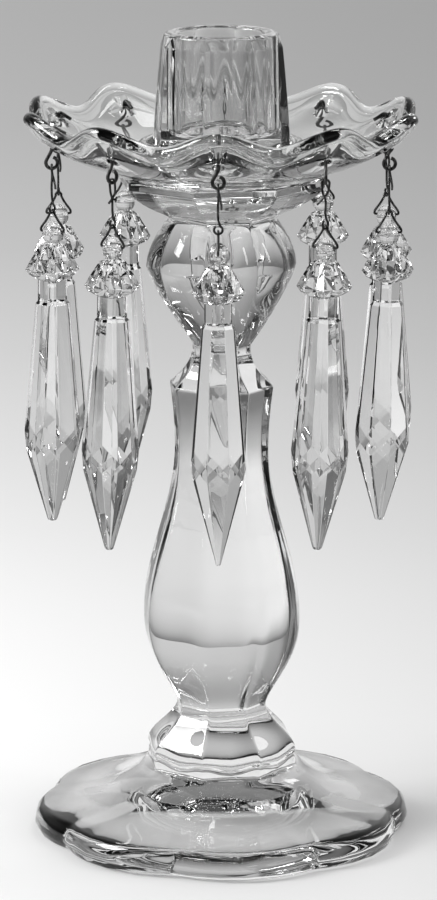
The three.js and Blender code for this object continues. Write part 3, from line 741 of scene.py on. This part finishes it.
def prism_rings(extra):
    """The rings of a prism whose tip is longer by the extra length, from the tip up."""
    middle = math.cos(FACET_ANGLE / 2)
    flute_top = -LUG_HEIGHT
    flute_z = flute_top - FLUTE_HEIGHT
    neck_top = flute_z - FLUTE_UNDERCUT
    neck_foot = neck_top - PRISM_NECK_LENGTH
    collar_z = neck_foot - PRISM_COLLAR_STEP
    girdle_z = collar_z - SPEAR_UPPER_LENGTH
    tip_z = girdle_z - SPEAR_LOWER_LENGTH - extra
    tip_radius = TIP_RADIUS - TIP_TAPER * max(extra, 0)
    slope = (SPEAR_RADIUS - PRISM_COLLAR_RADIUS) / (SPEAR_UPPER_LENGTH - GIRDLE_HALF_HEIGHT)
    girdle_middle = middle * (SPEAR_RADIUS + slope * GIRDLE_HALF_HEIGHT)
    tip_top = tip_z + TIP_ROUND
    lower = mix(girdle_middle / middle, tip_radius, GIRDLE_HALF_HEIGHT / (girdle_z - tip_top))

    def plain(radius, z):
        return star_ring(radius, z, radius * middle, z)

    def bell(share, rise):
        z = flute_z + rise
        scallop = FLUTE_SCALLOP if rise < 0 else 0
        return star_ring(FLUTE_RADIUS * share, z, FLUTE_RADIUS * FLUTE_HOLLOW * share, z + scallop)

    def lug(share):
        across = math.sqrt(max(0, 1 - share ** 2)) * (1 - LUG_TAPER * share)
        z = -LUG_HEIGHT / 2 * (1 - share)
        return [Vector((LUG_SIDE * across * math.cos(a), LUG_HALF_WIDTH * across * math.sin(a), z))
                for a in turns(2 * FACETS)]

    bell_top = flute_top - BELL_TOP_DROP
    return [
        *[plain(tip_radius * share, tip_z + TIP_ROUND * rise) for share, rise in TIP_OUTLINE],
        star_ring(lower, girdle_z - GIRDLE_HALF_HEIGHT, girdle_middle, girdle_z),
        star_ring(SPEAR_RADIUS, girdle_z + GIRDLE_HALF_HEIGHT, girdle_middle, girdle_z),
        plain(PRISM_COLLAR_RADIUS, collar_z),
        plain(PRISM_NECK_RADIUS, neck_foot),
        plain(PRISM_NECK_RADIUS, neck_top + PRISM_NECK_INSET),
        *[bell(share, rise) for share, rise in BELL_OUTLINE],
        star_ring(LUG_HALF_WIDTH * BELL_TOP_CORNER, bell_top, LUG_HALF_WIDTH * BELL_TOP_MIDDLE, bell_top),
        *[lug(share) for share in LUG_PROFILE],
    ]


def make_prism_mesh(extra):
    half = FACET_ANGLE / 2
    turned = []
    for ring in prism_rings(extra):
        turned.append([Vector((p.x * math.cos(half) - p.y * math.sin(half),
                               p.x * math.sin(half) + p.y * math.cos(half), p.z)) for p in ring])
    obj = skin("prism_pattern", turned)
    face_outward(obj)
    hole = [(LUG_HOLE_RADIUS * math.cos(a), LUG_HOLE_RADIUS * math.sin(a) - LUG_HOLE_DROP)
            for a in turns(LUG_HOLE_SIDES)]
    ends = (-LUG_HOLE_REACH, LUG_HOLE_REACH)
    bore = skin("prism_bore", [[Vector((x, y, z)) for y, z in hole] for x in ends])
    face_outward(bore)
    cut(obj, bore)
    bevel = obj.modifiers.new("edges", "BEVEL")
    bevel.width = PRISM_BEVEL * MM
    bevel.segments = 1
    bevel.limit_method = "ANGLE"
    bevel.angle_limit = math.radians(PRISM_BEVEL_FROM)
    apply_modifiers(obj)
    mesh = obj.data
    bpy.data.objects.remove(obj)
    bpy.data.objects.remove(bore)
    return mesh


# Materials: helpers that add nodes
def new_material(name):
    """A material with its nodes, its links and its main shader."""
    material = bpy.data.materials.new(name)
    material.use_nodes = True
    nodes = material.node_tree.nodes
    return material, nodes, material.node_tree.links, nodes["Principled BSDF"]


def operate(nodes, links, kind, operation, *terms):
    """The result of a Math or VectorMath node. Each term is a value or another node's output."""
    node = nodes.new(f"ShaderNode{kind}")
    node.operation = operation
    for socket, term in zip(node.inputs, terms):
        if isinstance(term, bpy.types.NodeSocket):
            links.new(term, socket)
        else:
            socket.default_value = term
    return node.outputs["Value" if kind == "Math" or operation == "DISTANCE" else "Vector"]


def multiply(nodes, links, first, second):
    return operate(nodes, links, "VectorMath", "MULTIPLY", first, second)


def axis(nodes, links, vector, letter):
    split = nodes.new("ShaderNodeSeparateXYZ")
    links.new(vector, split.inputs["Vector"])
    return split.outputs[letter]


def noise(nodes, links, place, scale, detail):
    texture = nodes.new("ShaderNodeTexNoise")
    texture.inputs["Scale"].default_value = scale
    texture.inputs["Detail"].default_value = detail
    links.new(place, texture.inputs["Vector"])
    return texture.outputs["Fac"]


def map_range(nodes, links, value, source, result=(0, 1)):
    node = nodes.new("ShaderNodeMapRange")
    node.inputs["From Min"].default_value, node.inputs["From Max"].default_value = source
    node.inputs["To Min"].default_value, node.inputs["To Max"].default_value = result
    links.new(value, node.inputs["Value"])
    return node.outputs["Result"]


def bump(nodes, links, height, depth):
    node = nodes.new("ShaderNodeBump")
    node.inputs["Distance"].default_value = depth
    links.new(height, node.inputs["Height"])
    return node.outputs["Normal"]


def mix_shaders(nodes, links, share, first, second):
    """The first shader, or the second one where the share is 1."""
    node = nodes.new("ShaderNodeMixShader")
    for socket, source in zip(node.inputs, (share, first, second)):
        links.new(source, socket)
    return node.outputs["Shader"]


def shade_ramp(nodes, links, value, shades):
    """Greys at places along a value."""
    near, far = shades[0][0], shades[-1][0]
    ramp = nodes.new("ShaderNodeValToRGB")
    elements = ramp.color_ramp.elements
    for i, (place, shade) in enumerate(shades):
        position = (place - near) / (far - near)
        element = elements[i] if i < 2 else elements.new(position)
        element.position = position
        element.color = (shade, shade, shade, 1)
    links.new(map_range(nodes, links, value, (near, far)), ramp.inputs["Fac"])
    return ramp.outputs["Color"]


# Glass: tint, index of refraction, scale and depth in metres of its waves, and haze
CANDLESTICK_GLASS = ((0.92, 0.925, 0.92), 1.51, 48, 0.00022, 0.05)
BOBECHE_GLASS = ((0.91, 0.915, 0.91), 1.51, 90, 0.00014, 0.06)
PRISM_GLASS = ((0.99, 0.99, 0.99), 1.55, 160, 0.00001, 0.02)
WAVE_DETAIL = 1.5
SMEAR_SCALE = 90
SMEAR_DETAIL = 4
SMEAR_RANGE = (0.55, 0.85)
# Painted shade in the candlestick's glass, by height in metres: paler at the foot, darker at the knob and
# the cup
CANDLESTICK_PAINTED_SHADES = [
    (0, 0.98), (0.025, 0.94), (0.05, 0.9), (0.13, 0.86),
    (0.15, 0.83), (0.195, 0.84), (0.203, 0.78), (0.23, 0.75),
]
# Light through the glass onto the floor: upright walls spread it, and level faces gather it
SHADOW_LEVEL = (0.55, 0.92)
SHADOW_LIGHT = (0.5, 1.1)

WIRE_METALLIC = 0.9
GRAIN_SCALE = 900
GRAIN_DETAIL = 5
GRAIN_DEPTH = 0.00004
GRAIN_DARK = (0.35, (0.02, 0.02, 0.02, 1))
GRAIN_PALE = (0.75, (0.13, 0.13, 0.128, 1))
WIRE_ROUGHNESS = (0.22, 0.45)


def glass(name, look, painted_shade_heights=None):
    """Clear wavy glass with a little haze and a pale shadow. Painted shade by height, if given, goes before
    its own tint.
    """
    tint, ior, wave_scale, wave_depth, haze = look
    material, nodes, links, shader = new_material(name)
    shader.inputs["Base Color"].default_value = (*tint, 1)
    shader.inputs["IOR"].default_value = ior
    shader.inputs["Transmission Weight"].default_value = 1
    place = nodes.new("ShaderNodeTexCoord").outputs["Object"]
    # Painted shade: the glass is made paler or darker by height
    if painted_shade_heights:
        height = axis(nodes, links, place, "Z")
        links.new(shade_ramp(nodes, links, height, painted_shade_heights), shader.inputs["Base Color"])
    waves = noise(nodes, links, place, wave_scale, WAVE_DETAIL)
    links.new(bump(nodes, links, waves, wave_depth), shader.inputs["Normal"])
    smears = noise(nodes, links, place, SMEAR_SCALE, SMEAR_DETAIL)
    links.new(map_range(nodes, links, smears, SMEAR_RANGE, (0, haze)), shader.inputs["Roughness"])
    facing_up = axis(nodes, links, nodes.new("ShaderNodeNewGeometry").outputs["Normal"], "Z")
    level = operate(nodes, links, "Math", "ABSOLUTE", facing_up)
    clear = nodes.new("ShaderNodeBsdfTransparent")
    links.new(map_range(nodes, links, level, SHADOW_LEVEL, SHADOW_LIGHT), clear.inputs["Color"])
    in_shadow = nodes.new("ShaderNodeLightPath").outputs["Is Shadow Ray"]
    surface = mix_shaders(nodes, links, in_shadow, shader.outputs["BSDF"], clear.outputs["BSDF"])
    links.new(surface, nodes["Material Output"].inputs["Surface"])
    return material


def dark_wire():
    """Dull dark metal with a fine grain in its colour, gloss and surface."""
    material, nodes, links, shader = new_material("dark_wire")
    shader.inputs["Metallic"].default_value = WIRE_METALLIC
    place = nodes.new("ShaderNodeTexCoord").outputs["Object"]
    grain = noise(nodes, links, place, GRAIN_SCALE, GRAIN_DETAIL)
    colour = nodes.new("ShaderNodeValToRGB")
    for element, (position, shade) in zip(colour.color_ramp.elements, (GRAIN_DARK, GRAIN_PALE)):
        element.position = position
        element.color = shade
    links.new(grain, colour.inputs["Fac"])
    links.new(colour.outputs["Color"], shader.inputs["Base Color"])
    links.new(map_range(nodes, links, grain, (0, 1), WIRE_ROUGHNESS), shader.inputs["Roughness"])
    links.new(bump(nodes, links, grain, GRAIN_DEPTH), shader.inputs["Normal"])
    return material


def finish_piece(obj, material, node, body):
    obj.data.materials.clear()
    obj.data.materials.append(material)
    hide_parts(node)
    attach(obj, body)


def build_object():
    # The candlestick's glass gets painted shade by height: paler foot, darker knob and cup
    candlestick_glass = glass("candlestick_glass", CANDLESTICK_GLASS, CANDLESTICK_PAINTED_SHADES)
    finish_piece(make_candlestick(), candlestick_glass, "candlestick", "candlestick")
    bobeche_glass = glass("bobeche_glass", BOBECHE_GLASS)
    finish_piece(make_bobeche(), bobeche_glass, "bobeche", "bobeche")
    prism_glass = glass("prism_glass", PRISM_GLASS)
    wire_finish = dark_wire()
    wire_kinds = [
        ("rim_hook", hook_points, HOOK_WIRE),
        ("link_pin", pin_points, PIN_LOOK),
        ("prism_bail", bail_points, BAIL_LOOK),
    ]
    for i in range(PENDANTS):
        number = f"{i + 1:02d}"
        for kind, points, diameter in wire_kinds:
            piece = wire(f"{kind}_wire_{number}", points(i), diameter, i)
            finish_piece(piece, wire_finish, f"{kind}_{number}", f"{kind}_{number}")
        prism = bpy.data.objects.new(f"prism_glass_{number}", make_prism_mesh(TIP_EXTRA_LENGTHS[i]))
        hang = Matrix.Translation(around(HOLE_CIRCLE_RADIUS, 360 * i / PENDANTS, LUG_HOLE_Z) * MM)
        lean = Matrix.Rotation(math.radians(-PRISM_LEANS[i]), 4, "Y")
        turn = Matrix.Rotation(math.radians(BAIL_HEADINGS[i] + PRISM_TWISTS[i] + BOBECHE_TURN), 4, "Z")
        from_lug_hole = Matrix.Translation((0, 0, LUG_HOLE_DROP * MM))
        prism.matrix_world = hang @ lean @ turn @ from_lug_hole
        bpy.context.scene.collection.objects.link(prism)
        finish_piece(prism, prism_glass, f"prism_{number}", f"prism_{number}")


# Stage: camera, floor, surroundings and lamps, in metres and degrees
CAMERA_DISTANCE = 1.108
CAMERA_HEIGHT = 0.3664
CAMERA_PITCH = 13.0
LENS = 160
SENSOR = 36
AXIS_SHIFT = -0.0033
NEAREST_SEEN = 0.01
FARTHEST_SEEN = 100


def make_camera():
    data = bpy.data.cameras.new("camera")
    data.lens = LENS
    data.sensor_width = SENSOR
    data.shift_x = AXIS_SHIFT
    data.clip_start = NEAREST_SEEN
    data.clip_end = FARTHEST_SEEN
    camera = bpy.data.objects.new("camera", data)
    camera.location = (0, -CAMERA_DISTANCE, CAMERA_HEIGHT)
    camera.rotation_euler = (math.radians(90 - CAMERA_PITCH), 0, 0)
    bpy.context.scene.collection.objects.link(camera)
    bpy.context.scene.camera = camera


# Paper under the object
PAPER_SIDE = 3.0
PAPER_BACK = 2.4
PAPER_GAP = 0.0004
PAPER_ROUGHNESS = 0.9
# Painted shade on the paper, by distance behind the object and by distance to its right that spreads with
# depth: darker in front of the object, some way behind it and to the sides
PAPER_PAINTED_DEPTH_SHADES = [
    (-0.5, 0.4), (-0.24, 0.36), (-0.15, 0.9), (0.1, 0.9), (0.25, 0.82), (0.35, 0.76),
    (0.48, 0.7), (0.68, 0.64), (0.95, 0.6), (1.4, 0.62), (2.0, 0.7), (2.4, 0.76),
]
PAPER_PAINTED_SIDE_SHADES = [
    (-1.5, 0.3), (-0.55, 0.34), (-0.28, 0.42), (-0.15, 0.68), (-0.09, 1.0),
    (0.12, 0.76), (0.3, 0.5), (0.9, 0.3), (1.5, 0.2),
]
PAPER_SPREAD = 1.1
# A painted pool of light on the paper in front and to the left, outside the picture, which shows in the
# glass of the foot
PAINTED_LIGHT_POOL_CENTRE = (-0.62, -0.52, 0)
PAINTED_LIGHT_POOL_SHADES = [(0, 0.9), (0.24, 0.9), (0.4, 0.4), (0.75, 0.3), (1.1, 0), (2, 0)]


def paper():
    material, nodes, links, shader = new_material("paper")
    shader.inputs["Roughness"].default_value = PAPER_ROUGHNESS
    shader.inputs["Specular IOR Level"].default_value = 0
    place = nodes.new("ShaderNodeTexCoord").outputs["Object"]
    behind = axis(nodes, links, place, "Y")
    spread = operate(nodes, links, "Math", "MULTIPLY_ADD", behind, PAPER_SPREAD, 1)
    across = operate(nodes, links, "Math", "DIVIDE", axis(nodes, links, place, "X"), spread)
    # Painted shade: the paper is paler near the object and darker in front, behind and to the sides
    painted_depth_shade = shade_ramp(nodes, links, behind, PAPER_PAINTED_DEPTH_SHADES)
    painted_side_shade = shade_ramp(nodes, links, across, PAPER_PAINTED_SIDE_SHADES)
    # A painted pool of light, paler than the paper around it
    away = operate(nodes, links, "VectorMath", "DISTANCE", place, PAINTED_LIGHT_POOL_CENTRE)
    painted_light_pool = shade_ramp(nodes, links, away, PAINTED_LIGHT_POOL_SHADES)
    plain = multiply(nodes, links, painted_depth_shade, painted_side_shade)
    palest = operate(nodes, links, "VectorMath", "MAXIMUM", plain, painted_light_pool)
    links.new(palest, shader.inputs["Base Color"])
    return material


def make_floor():
    corners = [
        (-PAPER_SIDE, -PAPER_SIDE, -PAPER_GAP),
        (PAPER_SIDE, -PAPER_SIDE, -PAPER_GAP),
        (PAPER_SIDE, PAPER_BACK, -PAPER_GAP),
        (-PAPER_SIDE, PAPER_BACK, -PAPER_GAP),
    ]
    mesh = bpy.data.meshes.new("paper")
    mesh.from_pydata(corners, [], [(0, 1, 2, 3)])
    mesh.materials.append(paper())
    floor = bpy.data.objects.new("paper", mesh)
    bpy.context.scene.collection.objects.link(floor)


# Greys of the room that the glass shows, by direction: each share runs from -1 to 1
BACKDROP_SHADES = [(-1, 0.36), (0.0, 0.32), (0.35, 0.85), (1, 1.0)]
ROOM_SIDE_SHADES = [(-1, 0.3), (-0.7, 0.28), (-0.3, 0.9), (0.5, 1.0), (0.85, 0.7), (1, 0.6)]
# By height, for rays that went through glass and for mirrored ones
SEEN_HEIGHT_SHADES = [
    (-1, 0.7), (0.0, 0.7), (0.12, 0.66), (0.24, 0.58), (0.35, 0.48), (0.6, 0.28), (1, 0.2),
]
MIRRORED_HEIGHT_SHADES = [
    (-1, 0.45), (0.0, 0.45), (0.12, 0.7), (0.2, 1.0), (0.4, 1.0), (0.55, 0.6), (0.75, 0.3), (1, 0.2),
]
DAYLIGHT = 0.5
LEAST_SCATTER = 0.5
# Where a mix of colours has its two colours and its result
MIX_FIRST = 6
MIX_SECOND = 7
MIX_RESULT = 2


def make_world():
    """The painted room for rays that meet it from glass or metal, and even daylight for matt surfaces."""
    world = bpy.data.worlds.new("studio")
    bpy.context.scene.world = world
    world.use_nodes = True
    nodes, links = world.node_tree.nodes, world.node_tree.links
    nodes.clear()
    direction_seen = nodes.new("ShaderNodeTexCoord").outputs["Generated"]
    back = shade_ramp(nodes, links, axis(nodes, links, direction_seen, "Y"), BACKDROP_SHADES)
    side = shade_ramp(nodes, links, axis(nodes, links, direction_seen, "X"), ROOM_SIDE_SHADES)
    up = axis(nodes, links, direction_seen, "Z")
    path = nodes.new("ShaderNodeLightPath")
    height = nodes.new("ShaderNodeMix")
    height.data_type = "RGBA"
    links.new(path.outputs["Is Transmission Ray"], height.inputs["Factor"])
    links.new(shade_ramp(nodes, links, up, MIRRORED_HEIGHT_SHADES), height.inputs[MIX_FIRST])
    links.new(shade_ramp(nodes, links, up, SEEN_HEIGHT_SHADES), height.inputs[MIX_SECOND])
    room = nodes.new("ShaderNodeBackground")
    level = multiply(nodes, links, back, side)
    links.new(multiply(nodes, links, level, height.outputs[MIX_RESULT]), room.inputs["Color"])
    daylight = nodes.new("ShaderNodeBackground")
    daylight.inputs["Color"].default_value = (1, 1, 1, 1)
    daylight.inputs["Strength"].default_value = DAYLIGHT
    bounces = path.outputs["Diffuse Depth"]
    scattered = operate(nodes, links, "Math", "GREATER_THAN", bounces, LEAST_SCATTER)
    output = nodes.new("ShaderNodeOutputWorld")
    lights = (room.outputs["Background"], daylight.outputs["Background"])
    links.new(mix_shaders(nodes, links, scattered, *lights), output.inputs["Surface"])


# Lamps: name, place, what it points at, width, height and power in watts
LAMPS = [
    ("key", (-1.3, -0.15, 1.1), (0, 0, 0.12), 0.6, 0.7, 22),
    ("fill", (1.5, -0.7, 1.0), (0, 0, 0.12), 0.2, 0.8, 3.8),
    ("overhead", (0.5, 0.5, 1.9), (0, 0, 0.1), 0.6, 0.6, 7.5),
]
LIGHT_BOUNCES = 24


def area_lamp(name, location, target, width, height, power):
    data = bpy.data.lights.new(name, "AREA")
    data.shape = "RECTANGLE"
    data.size, data.size_y = width, height
    data.energy = power
    lamp = bpy.data.objects.new(name, data)
    lamp.location = location
    lamp.rotation_euler = (Vector(target) - Vector(location)).to_track_quat("-Z", "Y").to_euler()
    bpy.context.scene.collection.objects.link(lamp)


make_camera()
make_floor()
make_world()
for lamp in LAMPS:
    area_lamp(*lamp)
build_object()

view_settings = bpy.context.scene.view_settings
view_settings.view_transform = "Standard"
cycles = bpy.context.scene.cycles
cycles.caustics_refractive = False
cycles.caustics_reflective = False
cycles.max_bounces = LIGHT_BOUNCES
cycles.transmission_bounces = LIGHT_BOUNCES
cycles.transparent_max_bounces = LIGHT_BOUNCES
